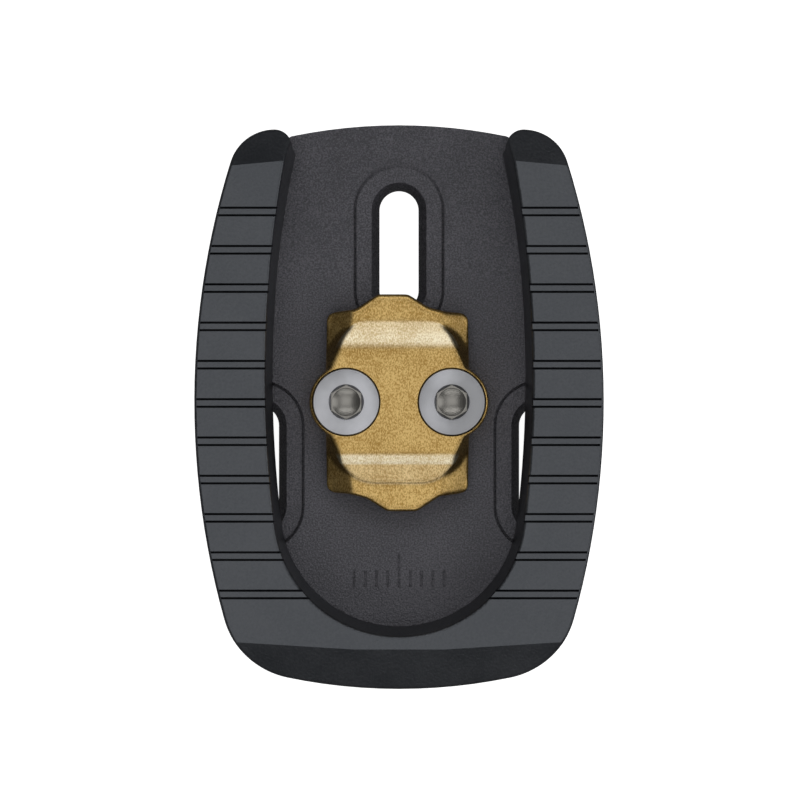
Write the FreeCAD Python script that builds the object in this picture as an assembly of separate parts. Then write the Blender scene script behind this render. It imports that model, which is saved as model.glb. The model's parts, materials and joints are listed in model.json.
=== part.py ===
import FreeCAD, Part
import os
from math import cos, pi, radians, sin, sqrt, tan

# Pedal cleat on a three-bolt road-shoe adapter, in millimetres.
# +Z points away from the shoe, towards the pedal.  +Y points to the toe.  +X is the wearer's side axis.
# The origin lies under the middle of the plate, level with the toe and heel edges that touch the shoe.

V = FreeCAD.Vector
UP = V(0, 0, 1)

# Outline seen from the pedal side.
half_width = 27.1
widest_y = 0.7
side_radius = 107.0
toe_y = 37.5
toe_radius = 70.0
heel_y = -37.5
heel_radius = 72.0
heel_corner_radius = 11.0
rail_tip_y = 36.75
rail_corner_radius = 6.0
rail_nose_radius = 2.3
rail_foot_x = 13.5
rail_foot_y = 33.0

# Side view of the plate: hollow underneath to suit a curved sole, with a level pad at each end.
sole_half_length = 33.0
sole_rise = 2.8
floor_z = 6.6
bend_start_y = 15.0
bend_end_y = 27.0
toe_slope = radians(9.0)
plate_end = 45.0

# How far cutting solids reach: below and above everything, and past the surface that they cut.
low_limit = -10.0
high_limit = 25.0
cut_over = 1.0

# Plate edge, which the skirt of the tread wraps.
skirt_wall = 1.2
side_gap = 0.2
seat_gap = 0.1
tongue_half_width = 15.0
tongue_corner_radius = 1.0
shoulder_y = 32.4
shoulder_corner_radius = 2.0

# Tread pad.
tread_top_z = 13.4
toe_crease_y = 33.05
toe_crease_radius = 208.0
toe_chamfer = radians(33.0)
heel_crease_y = -32.0
heel_crease_radius = 260.0
heel_chamfer = radians(35.0)
skirt_lift = 0.4
rail_side_radius = 160.0
rail_widest_y = 4.0
rail_top_half_width = 17.7
rail_top_end_y = -30.4
rail_base_half_width = 16.8
rail_base_end_y = -29.2

# Shallow channels across the tread.
channel_count = 11
channel_first_y = 25.8
channel_pitch = 5.065
channel_width = 1.3
channel_depth = 0.3
channel_edge_wall = 0.45

# Slots for the three shoe bolts.
slot_half_width = 2.6
slot_travel = 10.7
slot_centres = [(0.0, 20.8), (-18.6, -7.9), (18.6, -7.9)]
funnel_half_width = 3.65
funnel_depth = 1.6
land_half_width = 5.95
land_z = 5.9
moat_width = 0.3
moat_depth = 0.4

# Lugs under the tread that drop into pockets in the plate: x, y, length, angle from X.
lug_half_width = 1.5
lug_places = [(20.9, 22.5, 8.0, 90), (22.2, 9.0, 8.0, 90), (17.2, -25.8, 6.0, 90), (8.5, -32.9, 9.0, 0)]
lug_gap = 0.15

# Alignment scale sunk in the plate behind the cleat.
scale_y = -24.0
scale_pitch = 1.5
scale_marks = 9
mark_width = 0.35
mark_depth = 0.25
mark_length = 2.2
middle_mark_length = 4.4

# Fasteners.
bolt_x = 7.0
bolt_y = 0.6
head_radius = 4.45
head_land = 0.5
shank_radius = 2.45
bolt_length = 8.0
socket_across_flats = 4.0
socket_depth = 1.9
socket_point = 0.8
socket_lead_in = 0.25
insert_bore_radius = 2.5
insert_radius = 3.4
insert_flange_radius = 4.7
insert_flange = 0.9
insert_recess = 0.15
insert_top_gap = 0.1
press_gap = 0.02

# Cleat, about its own centre.
cleat_centre = V(-0.2, 0.5, 0)
cleat_height = 5.0
foot_height = 1.8
lip_height = 2.7
nose_height = 3.8
boss_radius = 4.85
countersink_gap = 0.12
cleat_hole_radius = 2.75
lip_corner_radius = 1.2
half_lip = [(9.4, 12.0), (6.4, 12.1), (4.1, 12.7), (1.4, 14.4), (-2.6, 14.4), (-5.6, 12.4), (-9.4, 12.1)]
half_nose = [(7.4, 10.4), (5.6, 10.9), (3.8, 11.8), (1.2, 13.8), (-2.4, 13.8), (-4.6, 11.8), (-7.4, 10.4)]
half_crown_base = [(9.2, 4.8), (9.2, 9.0), (8.0, 11.0), (4.0, 11.8), (-4.0, 11.8), (-8.0, 11.0), (-9.2, 9.0)]
half_crown_top = [(9.1, 4.6), (7.6, 7.7), (6.2, 9.5), (3.4, 10.6), (-3.4, 10.6), (-6.2, 9.5), (-7.6, 7.7)]
foot_half_x = 8.6
foot_half_y = 9.6
front_slope_start_y = 7.4
front_slope_end_y = 10.9
front_slope_drop = 1.6
rear_ramp_start_y = -6.5
rear_ramp_end_y = -7.9
rear_shelf_drop = 0.6
past_cleat_y = 16.0


def flat_vector(x, y, z=0.0):
    return V(x, y, z)


def circle_crossing(centre_a, radius_a, centre_b, radius_b, side):
    """Point where two circles in plan cross, on the left (+1) or right (-1) of the line a to b."""
    along = centre_b - centre_a
    distance = along.Length
    reach = (radius_a ** 2 - radius_b ** 2 + distance ** 2) / (2 * distance)
    height = sqrt(radius_a ** 2 - reach ** 2)
    along.normalize()
    across = V(-along.y, along.x, 0)
    return centre_a + along * reach + across * (height * side)


def point_on_circle(centre, radius, towards):
    direction = towards - centre
    direction.normalize()
    return centre + direction * radius


def arc_between(start, end, centre, radius):
    """Short arc from start to end about centre."""
    middle = point_on_circle(centre, radius, (start + end) * 0.5)
    return Part.Arc(start, middle, end).toShape()


def line(start, end):
    return Part.LineSegment(start, end).toShape()


def mirrored(point):
    return V(-point.x, point.y, point.z)


def face_of(edges):
    return Part.Face(Part.Wire(edges))


def prism(face, low_z, high_z):
    lowered = face.copy()
    lowered.translate(V(0, 0, low_z))
    return lowered.extrude(UP * (high_z - low_z))


def cylinder(radius, x, y, low_z, high_z):
    return Part.makeCylinder(radius, high_z - low_z, V(x, y, low_z))


def block(low, high):
    return Part.makeBox(high[0] - low[0], high[1] - low[1], high[2] - low[2], V(*low))


def capsule(x, y, half_gauge, travel, angle, low_z, high_z):
    """Upright slot-shaped solid with round ends, its length lying along the given angle from X."""
    reach = travel / 2
    corners = [(-reach, -half_gauge), (reach, -half_gauge), (reach, half_gauge), (-reach, half_gauge)]
    a, b, c, d = [flat_vector(*corner) for corner in corners]
    right_end = Part.Arc(b, flat_vector(reach + half_gauge, 0), c).toShape()
    left_end = Part.Arc(d, flat_vector(-reach - half_gauge, 0), a).toShape()
    solid = prism(face_of([line(a, b), right_end, line(c, d), left_end]), low_z, high_z)
    solid.rotate(V(0, 0, 0), UP, angle)
    solid.translate(V(x, y, 0))
    return solid


def side_centre():
    return flat_vector(half_width - side_radius, widest_y)


def heel_centre():
    return flat_vector(0, heel_y + heel_radius)


def heel_corner(inset):
    """Centre of the heel corner arc and its two tangent points, on the right side."""
    reach = heel_corner_radius
    centre = circle_crossing(side_centre(), side_radius - reach, heel_centre(), heel_radius - reach, -1)
    on_side = point_on_circle(side_centre(), side_radius - inset, centre)
    on_heel = point_on_circle(heel_centre(), heel_radius - inset, centre)
    return centre, on_side, on_heel


def heel_edges(start, inset):
    """Edges from a start point on the right side, round the heel, to its mirror image on the left."""
    centre, on_side, on_heel = heel_corner(inset)
    left_centre = mirrored(centre)
    radius = heel_corner_radius - inset
    return [
        arc_between(start, on_side, side_centre(), side_radius - inset),
        arc_between(on_side, on_heel, centre, radius),
        arc_between(on_heel, mirrored(on_heel), heel_centre(), heel_radius - inset),
        arc_between(mirrored(on_heel), mirrored(on_side), left_centre, radius),
        arc_between(mirrored(on_side), mirrored(start), mirrored(side_centre()), side_radius - inset),
    ]


def tread_outline(inset):
    """Outline of the tread pad: the U of both rails, with the space between them still filled."""
    corner_radius = rail_corner_radius - inset
    tip_y = rail_tip_y - rail_corner_radius
    run = sqrt((side_radius - rail_corner_radius) ** 2 - (tip_y - widest_y) ** 2)
    corner = flat_vector(side_centre().x + run, tip_y)
    on_side = point_on_circle(side_centre(), side_radius - inset, corner)
    tip = flat_vector(corner.x, rail_tip_y - inset)
    nose = flat_vector(corner.x, rail_tip_y - rail_nose_radius)
    nose_radius = rail_nose_radius - inset
    inner = flat_vector(nose.x - nose_radius, nose.y)
    foot = flat_vector(rail_foot_x, rail_foot_y)
    toe_side = [
        line(mirrored(foot), foot),
        line(foot, inner),
        arc_between(inner, tip, nose, nose_radius),
        arc_between(tip, on_side, corner, corner_radius),
    ]
    other_side = [
        arc_between(mirrored(on_side), mirrored(tip), mirrored(corner), corner_radius),
        arc_between(mirrored(tip), mirrored(inner), mirrored(nose), nose_radius),
        line(mirrored(inner), mirrored(foot)),
    ]
    return face_of(toe_side + heel_edges(on_side, inset) + other_side)


def plate_outline(inset, tongue):
    """Outline of the plate: a tongue between the rail tips, then shoulders that run in under them."""
    toe_centre = flat_vector(0, toe_y - toe_radius)
    corner_x = tongue - tongue_corner_radius
    corner_reach = toe_radius - tongue_corner_radius
    corner = flat_vector(corner_x, toe_centre.y + sqrt(corner_reach ** 2 - corner_x ** 2))
    on_toe = point_on_circle(toe_centre, toe_radius, corner)
    on_tongue = flat_vector(tongue, corner.y)
    shoulder = shoulder_y - inset + skirt_wall
    root = flat_vector(tongue, shoulder)
    round_radius = shoulder_corner_radius
    turn_y = shoulder - round_radius
    reach = side_radius - inset - round_radius
    turn = flat_vector(side_centre().x + sqrt(reach ** 2 - (turn_y - widest_y) ** 2), turn_y)
    on_shoulder = flat_vector(turn.x, shoulder)
    on_side = point_on_circle(side_centre(), side_radius - inset, turn)
    right = [
        arc_between(on_toe, on_tongue, corner, tongue_corner_radius),
        line(on_tongue, root),
        line(root, on_shoulder),
        arc_between(on_shoulder, on_side, turn, round_radius),
    ]
    left = [
        arc_between(mirrored(on_side), mirrored(on_shoulder), mirrored(turn), round_radius),
        line(mirrored(on_shoulder), mirrored(root)),
        line(mirrored(root), mirrored(on_tongue)),
        arc_between(mirrored(on_tongue), mirrored(on_toe), mirrored(corner), tongue_corner_radius),
    ]
    toe = [arc_between(mirrored(on_toe), on_toe, toe_centre, toe_radius)]
    return face_of(toe + right + heel_edges(on_side, inset) + left)


def side_profile(edges):
    """Solid across the whole width from edges drawn in the plane x = 0."""
    face = face_of(edges)
    face.translate(V(-plate_end, 0, 0))
    return face.extrude(V(2 * plate_end, 0, 0))


def underside(lift):
    """Underside in side view, from the toe end to the heel end: level pad, sole arc, level pad."""
    toe_low = V(0, sole_half_length, lift)
    heel_low = V(0, -sole_half_length, lift)
    return [
        line(V(0, plate_end, lift), toe_low),
        Part.Arc(toe_low, V(0, 0, sole_rise + lift), heel_low).toShape(),
        line(heel_low, V(0, -plate_end, lift)),
    ]


def plate_band(lift, sole_lift):
    """Side view of the plate, its floor raised by lift and its underside by sole_lift."""
    bend_radius = (bend_end_y - bend_start_y) / sin(toe_slope)
    top = floor_z + lift
    bend_middle = V(0, bend_start_y + bend_radius * sin(toe_slope / 2), top - bend_radius * (1 - cos(toe_slope / 2)))
    bend_end = V(0, bend_end_y, top - bend_radius * (1 - cos(toe_slope)))
    toe_end = V(0, plate_end, bend_end.z - (plate_end - bend_end_y) * tan(toe_slope))
    flat_start = V(0, -plate_end, top)
    flat_end = V(0, bend_start_y, top)
    upper = [
        line(V(0, -plate_end, sole_lift), flat_start),
        line(flat_start, flat_end),
        Part.Arc(flat_end, bend_middle, bend_end).toShape(),
        line(bend_end, toe_end),
        line(toe_end, V(0, plate_end, sole_lift)),
    ]
    return side_profile(upper + underside(sole_lift))


def tread_band():
    """Side view of the tread: level on top, hollow underneath like the plate."""
    toe_end = V(0, plate_end, tread_top_z)
    heel_end = V(0, -plate_end, tread_top_z)
    upper = [
        line(V(0, -plate_end, skirt_lift), heel_end),
        line(heel_end, toe_end),
        line(toe_end, V(0, plate_end, skirt_lift)),
    ]
    return side_profile(upper + underside(skirt_lift))


def end_bevel(crease_y, radius, slope, towards):
    """Wide cone that bevels one end of the tread down from a slightly arched crease."""
    height = tread_top_z - low_limit
    centre = V(0, crease_y - towards * radius, low_limit)
    return Part.makeCone(radius + height / tan(slope), radius, height, centre)


def rail_wire(z):
    """Inner wall of the rails at one height: two long arcs joined round the heel."""
    share = (z - floor_z) / (tread_top_z - floor_z)
    half = rail_base_half_width + share * (rail_top_half_width - rail_base_half_width)
    end_y = rail_base_end_y + share * (rail_top_end_y - rail_base_end_y)
    depth = rail_widest_y - end_y
    big = rail_side_radius
    end_radius = (big ** 2 - (big - half) ** 2 - depth ** 2) / (2 * (big - depth))
    side = flat_vector(half - big, rail_widest_y)
    end = flat_vector(0, end_y + end_radius)
    joint = point_on_circle(side, big, end)
    front = flat_vector(side.x + sqrt(big ** 2 - (plate_end - rail_widest_y) ** 2), plate_end)
    edges = [
        line(mirrored(front), front),
        Part.Arc(front, flat_vector(half, rail_widest_y), joint).toShape(),
        Part.Arc(joint, flat_vector(0, end_y), mirrored(joint)).toShape(),
        Part.Arc(mirrored(joint), flat_vector(-half, rail_widest_y), mirrored(front)).toShape(),
    ]
    wire = Part.Wire(edges)
    wire.translate(V(0, 0, z))
    return wire


def rail_space():
    """Drafted space between the rails, from under the plate to above the tread."""
    return Part.makeLoft([rail_wire(skirt_lift), rail_wire(tread_top_z + cut_over)], True, True)


def both_sides(places):
    return places + [(-x, y, length, angle) for x, y, length, angle in places]


def lugs(gap, low_z, high_z):
    solids = []
    for x, y, length, angle in both_sides(lug_places):
        gauge = lug_half_width + gap
        solids.append(capsule(x, y, gauge, length - 2 * lug_half_width, angle, low_z, high_z))
    return solids


def slot_cutters():
    """Through slot, its funnel and the level bolt land with a fine moat round it."""
    cutters = []
    mouth = land_z - funnel_depth
    above = floor_z + cut_over
    for x, y in slot_centres:
        cutters.append(capsule(x, y, slot_half_width, slot_travel, 90, low_limit, high_limit))
        low = capsule(x, y, slot_half_width, slot_travel, 90, mouth, land_z).Faces
        high = capsule(x, y, funnel_half_width, slot_travel, 90, land_z, above).Faces
        low_wire = min(low, key=lambda face: face.CenterOfMass.z).OuterWire
        high_wire = min(high, key=lambda face: face.CenterOfMass.z).OuterWire
        cutters.append(Part.makeLoft([low_wire, high_wire], True, True))
        cutters.append(capsule(x, y, land_half_width, slot_travel, 90, land_z, above))
        rim = land_half_width + moat_width
        moat = capsule(x, y, rim, slot_travel, 90, land_z - moat_depth, above)
        cutters.append(moat.cut(capsule(x, y, land_half_width, slot_travel, 90, low_limit, high_limit)))
    return cutters


def land_pad():
    """Level pad under the front bolt, which stands out where the floor bends down to the toe."""
    x, y = slot_centres[0]
    return capsule(x, y, land_half_width, slot_travel, 90, sole_rise, land_z)


def scale_cutters():
    cutters = []
    for index in range(scale_marks):
        step = index - scale_marks // 2
        length = middle_mark_length if step == 0 else mark_length
        x = step * scale_pitch
        low = (x - mark_width / 2, scale_y, floor_z - mark_depth)
        cutters.append(block(low, (x + mark_width / 2, scale_y + length, floor_z + cut_over)))
    return cutters


def make_base_plate():
    plate = prism(plate_outline(skirt_wall + side_gap, tongue_half_width), low_limit, high_limit)
    plate = plate.common(plate_band(0, 0))
    plate = plate.fuse(land_pad())
    cutters = slot_cutters() + scale_cutters() + lugs(lug_gap, low_limit, floor_z + cut_over)
    for x in (-bolt_x, bolt_x):
        cutters.append(cylinder(insert_radius + press_gap, x, bolt_y, low_limit, high_limit))
        flange_top = sole_rise + insert_recess + insert_flange + press_gap
        cutters.append(cylinder(insert_flange_radius + side_gap, x, bolt_y, low_limit, flange_top))
    return plate.cut(cutters).removeSplitter()


def channel_cutters():
    field = prism(tread_outline(channel_edge_wall), tread_top_z - channel_depth, tread_top_z + cut_over)
    bars = []
    for index in range(channel_count):
        y = channel_first_y - index * channel_pitch
        low = (-half_width, y - channel_width / 2, tread_top_z - channel_depth)
        bars.append(block(low, (half_width, y + channel_width / 2, tread_top_z + cut_over)))
    return field.common(Part.makeCompound(bars))


def make_tread_pad():
    pad = prism(tread_outline(0), low_limit, high_limit).common(tread_band())
    pad = pad.common(end_bevel(toe_crease_y, toe_crease_radius, toe_chamfer, 1))
    pad = pad.common(end_bevel(heel_crease_y, heel_crease_radius, heel_chamfer, -1))
    seat = prism(plate_outline(skirt_wall, tongue_half_width + side_gap), low_limit, high_limit)
    pad = pad.cut(seat.common(plate_band(seat_gap, low_limit)))
    pad = pad.cut(rail_space())
    pad = pad.cut(channel_cutters())
    anchors = Part.makeCompound(lugs(0, low_limit, floor_z + cut_over)).common(plate_band(cut_over, skirt_lift))
    return pad.fuse(anchors.common(seat)).removeSplitter()


def point_symmetric(half):
    """Closed ring of points: one half, then the same half turned by 180 degrees."""
    return half + [(-x, -y) for x, y in half]


def ring_wire(half, z):
    points = [cleat_centre + V(x, y, z) for x, y in point_symmetric(half)]
    return Part.makePolygon(points + points[:1])


def across_cleat(points):
    """Solid that spans the cleat from points (y, z) of its side view, z from the plate floor."""
    ring = [V(-half_width, y, floor_z + z) for y, z in points]
    face = Part.Face(Part.makePolygon(ring + ring[:1]))
    return face.extrude(V(2 * half_width, 0, 0))


def make_cleat():
    lip_low = floor_z + foot_height
    lip_top = floor_z + lip_height
    top = floor_z + cleat_height
    lip = Part.Face(ring_wire(half_lip, lip_low)).extrude(UP * (lip_top - lip_low))
    upright = [edge for edge in lip.Edges if abs(edge.tangentAt(edge.FirstParameter).z) > 0.99]
    corners = [edge for edge in upright if abs(edge.Vertexes[0].X) > foot_half_x]
    lip = lip.makeFillet(lip_corner_radius, corners)
    noses = Part.makeLoft([ring_wire(half_lip, lip_top), ring_wire(half_nose, floor_z + nose_height)], True, True)
    crown = Part.makeLoft([ring_wire(half_crown_base, lip_top), ring_wire(half_crown_top, top)], True, True)
    foot_low = (cleat_centre.x - foot_half_x, cleat_centre.y - foot_half_y, floor_z)
    foot = block(foot_low, (cleat_centre.x + foot_half_x, cleat_centre.y + foot_half_y, lip_low))
    bosses = [cylinder(boss_radius, x, bolt_y, floor_z, top) for x in (-bolt_x, bolt_x)]
    cleat = lip.fuse([noses, crown, foot] + bosses)
    above = cleat_height + cut_over
    front = across_cleat([
        (front_slope_start_y, above),
        (front_slope_start_y, cleat_height),
        (front_slope_end_y, cleat_height - front_slope_drop),
        (past_cleat_y, cleat_height - front_slope_drop),
        (past_cleat_y, above),
    ])
    shelf = cleat_height - rear_shelf_drop
    rear = across_cleat([
        (rear_ramp_start_y, above),
        (rear_ramp_start_y, cleat_height),
        (rear_ramp_end_y, shelf),
        (-past_cleat_y, shelf),
        (-past_cleat_y, above),
    ])
    cutters = [front, rear]
    seat_radius = head_radius + countersink_gap
    cone_depth = seat_radius - cleat_hole_radius
    for x in (-bolt_x, bolt_x):
        cutters.append(cylinder(cleat_hole_radius, x, bolt_y, low_limit, high_limit))
        cutters.append(cylinder(seat_radius, x, bolt_y, top - head_land, high_limit))
        cone_low = V(x, bolt_y, top - head_land - cone_depth)
        cutters.append(Part.makeCone(cleat_hole_radius, seat_radius, cone_depth, cone_low))
    return cleat.cut(cutters).removeSplitter()


def make_bolt(x):
    """Countersunk bolt with a drilled hexagon socket."""
    top = floor_z + cleat_height
    cone_depth = head_radius - shank_radius
    head = cylinder(head_radius, x, bolt_y, top - head_land, top)
    cone = Part.makeCone(shank_radius, head_radius, cone_depth, V(x, bolt_y, top - head_land - cone_depth))
    shank = cylinder(shank_radius, x, bolt_y, top - bolt_length, top - head_land - cone_depth)
    bolt = head.fuse([cone, shank])
    corner = socket_across_flats / 2 / cos(pi / 6)
    ring = []
    for index in range(7):
        angle = index * pi / 3
        ring.append(V(x + corner * cos(angle), bolt_y + corner * sin(angle), top - socket_depth))
    socket = Part.Face(Part.makePolygon(ring)).extrude(UP * (socket_depth + cut_over))
    point_low = V(x, bolt_y, top - socket_depth - socket_point)
    point = Part.makeCone(0.0, socket_across_flats / 2, socket_point, point_low)
    lead_low = V(x, bolt_y, top - socket_lead_in)
    lead = Part.makeCone(corner - socket_lead_in, corner, socket_lead_in, lead_low)
    return bolt.cut([socket, point, lead])


def make_insert(x):
    """Flanged threaded insert, pressed into the plate from the shoe side."""
    low = sole_rise + insert_recess
    flange = cylinder(insert_flange_radius, x, bolt_y, low, low + insert_flange)
    barrel = cylinder(insert_radius, x, bolt_y, low, floor_z - insert_top_gap)
    bore = cylinder(insert_bore_radius, x, bolt_y, low_limit, high_limit)
    return flange.fuse(barrel).cut(bore).removeSplitter()


parts = {
    "base_plate": make_base_plate(),
    "tread_pad": make_tread_pad(),
    "cleat": make_cleat(),
    "cleat_bolt_left": make_bolt(-bolt_x),
    "cleat_bolt_right": make_bolt(bolt_x),
    "threaded_insert_left": make_insert(-bolt_x),
    "threaded_insert_right": make_insert(bolt_x),
}

os.makedirs("parts", exist_ok=True)
for name, shape in parts.items():
    shape.exportStep("parts/" + name + ".step")
    box = shape.BoundBox
    size = "%.2f x %.2f x %.2f" % (box.XLength, box.YLength, box.ZLength)
    print(name, "solids", len(shape.Solids), "valid", shape.isValid(), "volume", round(shape.Volume, 1), size)
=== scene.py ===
import json
from math import asin, ceil, cos, degrees, pi, radians, sin, sqrt, tan

import bpy
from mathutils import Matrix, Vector


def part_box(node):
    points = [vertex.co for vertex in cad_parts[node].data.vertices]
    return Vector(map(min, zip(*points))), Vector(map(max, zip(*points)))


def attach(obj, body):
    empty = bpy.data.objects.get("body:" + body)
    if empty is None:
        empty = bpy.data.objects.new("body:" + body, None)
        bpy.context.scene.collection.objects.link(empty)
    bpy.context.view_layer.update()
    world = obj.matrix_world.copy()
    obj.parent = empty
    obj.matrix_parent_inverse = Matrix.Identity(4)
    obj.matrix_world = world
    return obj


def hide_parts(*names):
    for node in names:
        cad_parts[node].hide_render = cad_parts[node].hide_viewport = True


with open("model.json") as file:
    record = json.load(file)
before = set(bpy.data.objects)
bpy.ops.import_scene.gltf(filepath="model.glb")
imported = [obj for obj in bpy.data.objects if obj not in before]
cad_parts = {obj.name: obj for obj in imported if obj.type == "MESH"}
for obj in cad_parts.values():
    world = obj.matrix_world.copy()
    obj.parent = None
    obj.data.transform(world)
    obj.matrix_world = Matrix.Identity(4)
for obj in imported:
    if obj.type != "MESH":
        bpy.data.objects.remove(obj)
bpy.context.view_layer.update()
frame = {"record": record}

# A pedal cleat on its road-shoe adapter, remade in detail round the CAD frame.
# Sizes are in millimetres; MM turns them into Blender's metres.
# +Z points to the pedal, +Y to the toe.

MM = 0.001


def box_mm(node):
    low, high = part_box(node)
    return low / MM, high / MM


tread_low, tread_high = box_mm("tread_pad")
plate_high = box_mm("base_plate")[1]
cleat_low, cleat_high = box_mm("cleat")
bolt_low, bolt_high = box_mm("cleat_bolt_right")
insert_low, insert_high = box_mm("threaded_insert_right")
mounts = {mount["name"]: mount for mount in frame["record"]["mounts"]}

# Outline from above.
half_width = tread_high.x
widest_y = 0.7
side_radius = 107.0
toe_y = plate_high.y
toe_radius = 70.0
heel_y = tread_low.y
heel_radius = 72.0
heel_corner_radius = 11.0
rail_tip_y = tread_high.y
rail_corner_radius = 6.0
rail_nose_radius = 2.3
rail_foot_x = 13.5
rail_foot_y = 33.0

# Side view.
sole_half_length = 33.0
sole_rise = 2.8
floor_z = cleat_low.z
bend_start_y = 15.0
bend_end_y = 27.0
toe_slope = radians(9.0)
beyond = 45.0

# Longest step of an arc, in degrees and in millimetres.
arc_step = 4.0
arc_chord = 2.5

# How far blanks and cutters run past the piece; lengthwise is the angle of the Y axis.
cut_over = 1.0
blank_low_z = -5.0
blank_high_z = 20.0
deep_z = -10.0
sole_cut_reach = 40.0
lengthwise = 90

# Joint between plate and tread.
skirt_wall = 1.2
side_gap = 0.2
seat_gap = 0.1
plate_edge_bevel = 0.12
tongue_half_width = 15.0
tongue_corner_radius = 1.0
shoulder_y = 32.4
shoulder_corner_radius = 2.0

# Tread.
tread_top_z = tread_high.z
toe_crease_y = 33.05
toe_crease_radius = 208.0
toe_chamfer = radians(33.0)
toe_plane_places = (-18.6, 18.6)
heel_crease_y = -32.0
heel_crease_radius = 260.0
heel_chamfer = radians(35.0)
heel_plane_places = (0, -16.0, 16.0)
skirt_lift = 0.4
rail_side_radius = 160.0
rail_widest_y = 4.0
rail_top_half_width = 17.7
rail_top_end_y = -30.4
rail_base_half_width = 16.8
rail_base_end_y = -29.2
tread_edge_radius = 0.4

# Channels across the tread: a strip sunk a little, with a fine groove along each edge.
channel_count = 11
channel_first_y = 25.8
channel_pitch = 5.065
channel_width = 1.3
strip_depth = 0.12
groove_width = 0.3
groove_depth = 0.5
channel_edge_wall = 0.3

# Slots for the shoe bolts: the bolt's land, a fine moat round it, a funnel and the through slot.
slot_half_width = mounts["front_slot"]["dims"]["hole_r_mm"]
slot_travel = mounts["front_slot"]["dims"]["slot_length_mm"] - 2 * slot_half_width
slot_centres = [Vector(mounts[name]["pos_m"]) / MM for name in ("front_slot", "left_slot", "right_slot")]
funnel_half_width = 3.65
funnel_depth = 1.6
land_half_width = 5.66
land_z = 5.9
moat_width = 0.38
moat_depth = 1.0

# Lugs of the tread on the right side: place, length and angle from X.
lug_half_width = 1.5
lug_places = [
    (20.9, 22.5, 8.0, lengthwise),
    (22.2, 9.0, 8.0, lengthwise),
    (17.2, -25.8, 6.0, lengthwise),
    (8.5, -32.9, 9.0, 0),
]
lug_gap = 0.15

# Alignment marks in the floor.
scale_y = -24.0
scale_pitch = 1.5
scale_marks = 9
mark_width = 0.35
mark_depth = 0.4
mark_length = 2.2
middle_mark_length = 4.4

# Fasteners.
bolt_x = (bolt_low.x + bolt_high.x) / 2
bolt_y = (bolt_low.y + bolt_high.y) / 2
head_radius = (bolt_high.x - bolt_low.x) / 2
head_land = 0.5
shank_radius = 2.45
bolt_top = bolt_high.z
socket_across_flats = 4.0
hexagon_depth = 1.1
cone_top_depth = 1.0
socket_depth = 2.2
socket_play = 0.05
socket_edge_bevel = 0.05
insert_bore_radius = 2.5
insert_radius = 3.4
insert_flange_radius = (insert_high.x - insert_low.x) / 2
insert_flange = 0.9
insert_gap = 0.02

# Cleat, about its own centre.
cleat_x = -0.2
cleat_y = (cleat_low.y + cleat_high.y) / 2
cleat_top = cleat_high.z
lip_low_z = floor_z + 1.8
lip_edge_z = floor_z + 2.2
nose_z = floor_z + 4.0
nose_edge_drop = 0.22
boss_radius = 4.9
cheek_x = 9.2
cheek_slope = radians(33.0)
cheek_turn = radians(12.0)
countersink_gap = 0.12
cleat_hole_radius = 2.75
foot_half_x = 8.6
foot_half_y = 9.6
crown_corner_x = 2.9
crown_corner_radius = 5.0
crown_corner_turn = radians(24.6)
crown_toe_y = 10.6
crown_heel_y = -10.15
crown_flare = 1.6
crown_side_run = 3.2
crown_cutter_reach = 12.0
front_slope = radians(15.0)
front_slope_y = 7.3
front_slope_bend = 4.0
front_slope_reach = 8.0
rear_ramp_top_y = -6.6
rear_ramp_foot_y = -8.0
shelf_drop = 0.6
shelf_reach = 16.0
shelf_fall = 0.1
cast_grain = 0.14


# ---------------------------------------------------------------- working tools


def only(*pieces):
    """Selects these pieces and nothing else."""
    bpy.ops.object.select_all(action="DESELECT")
    for piece in pieces:
        piece.select_set(True)
    bpy.context.view_layer.objects.active = pieces[0]


def open_mesh(piece):
    only(piece)
    bpy.ops.object.mode_set(mode="EDIT")
    bpy.ops.mesh.select_mode(type="VERT")
    bpy.ops.mesh.select_all(action="SELECT")


def close_mesh():
    bpy.ops.object.mode_set(mode="OBJECT")


def tidy_mesh(piece):
    """Merges doubled points and turns every face outwards."""
    open_mesh(piece)
    bpy.ops.mesh.remove_doubles(threshold=0.0005 * MM)
    bpy.ops.mesh.normals_make_consistent(inside=False)
    close_mesh()
    return piece


def flipped(point):
    """The same point on the other side of the middle line."""
    return None if point is None else (-point[0], point[1])


class Drawing:
    """A line drawn point by point: its last vertex is extruded straight or spun round a centre.

    A level drawing has points (x, y) at height z; a side drawing has points (y, z) at a place x.
    """

    def __init__(self, name, start, offset, side=False):
        self.side = side
        self.offset = offset
        self.at = Vector(start)
        bpy.ops.object.select_all(action="DESELECT")
        bpy.ops.mesh.primitive_plane_add(size=MM, location=self.place(start))
        self.piece = bpy.context.object
        self.piece.name = name
        self.piece.data.name = name
        bpy.ops.object.transform_apply(location=True, rotation=True, scale=True)
        open_mesh(self.piece)
        bpy.ops.mesh.merge(type="CENTER")

    def place(self, point):
        u, v = point
        if self.side:
            return Vector((self.offset, u, v)) * MM
        return Vector((u, v, self.offset)) * MM

    def straight(self, point):
        move = self.place(point) - self.place(self.at)
        bpy.ops.mesh.extrude_region_move(TRANSFORM_OT_translate={"value": move})
        self.at = Vector(point)

    def round(self, point, centre):
        start = self.at - Vector(centre)
        end = Vector(point) - Vector(centre)
        turn = start.angle_signed(end)
        steps = max(2, ceil(abs(degrees(turn)) / arc_step), ceil(abs(turn) * start.length / arc_chord))
        axis = (1, 0, 0) if self.side else (0, 0, 1)
        bpy.ops.mesh.spin(steps=steps, angle=turn, center=self.place(centre), axis=axis)
        self.at = Vector(point)

    def follow(self, steps):
        for point, centre in steps:
            if centre is None:
                self.straight(point)
            else:
                self.round(point, centre)
        close_mesh()
        return self.piece


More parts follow.
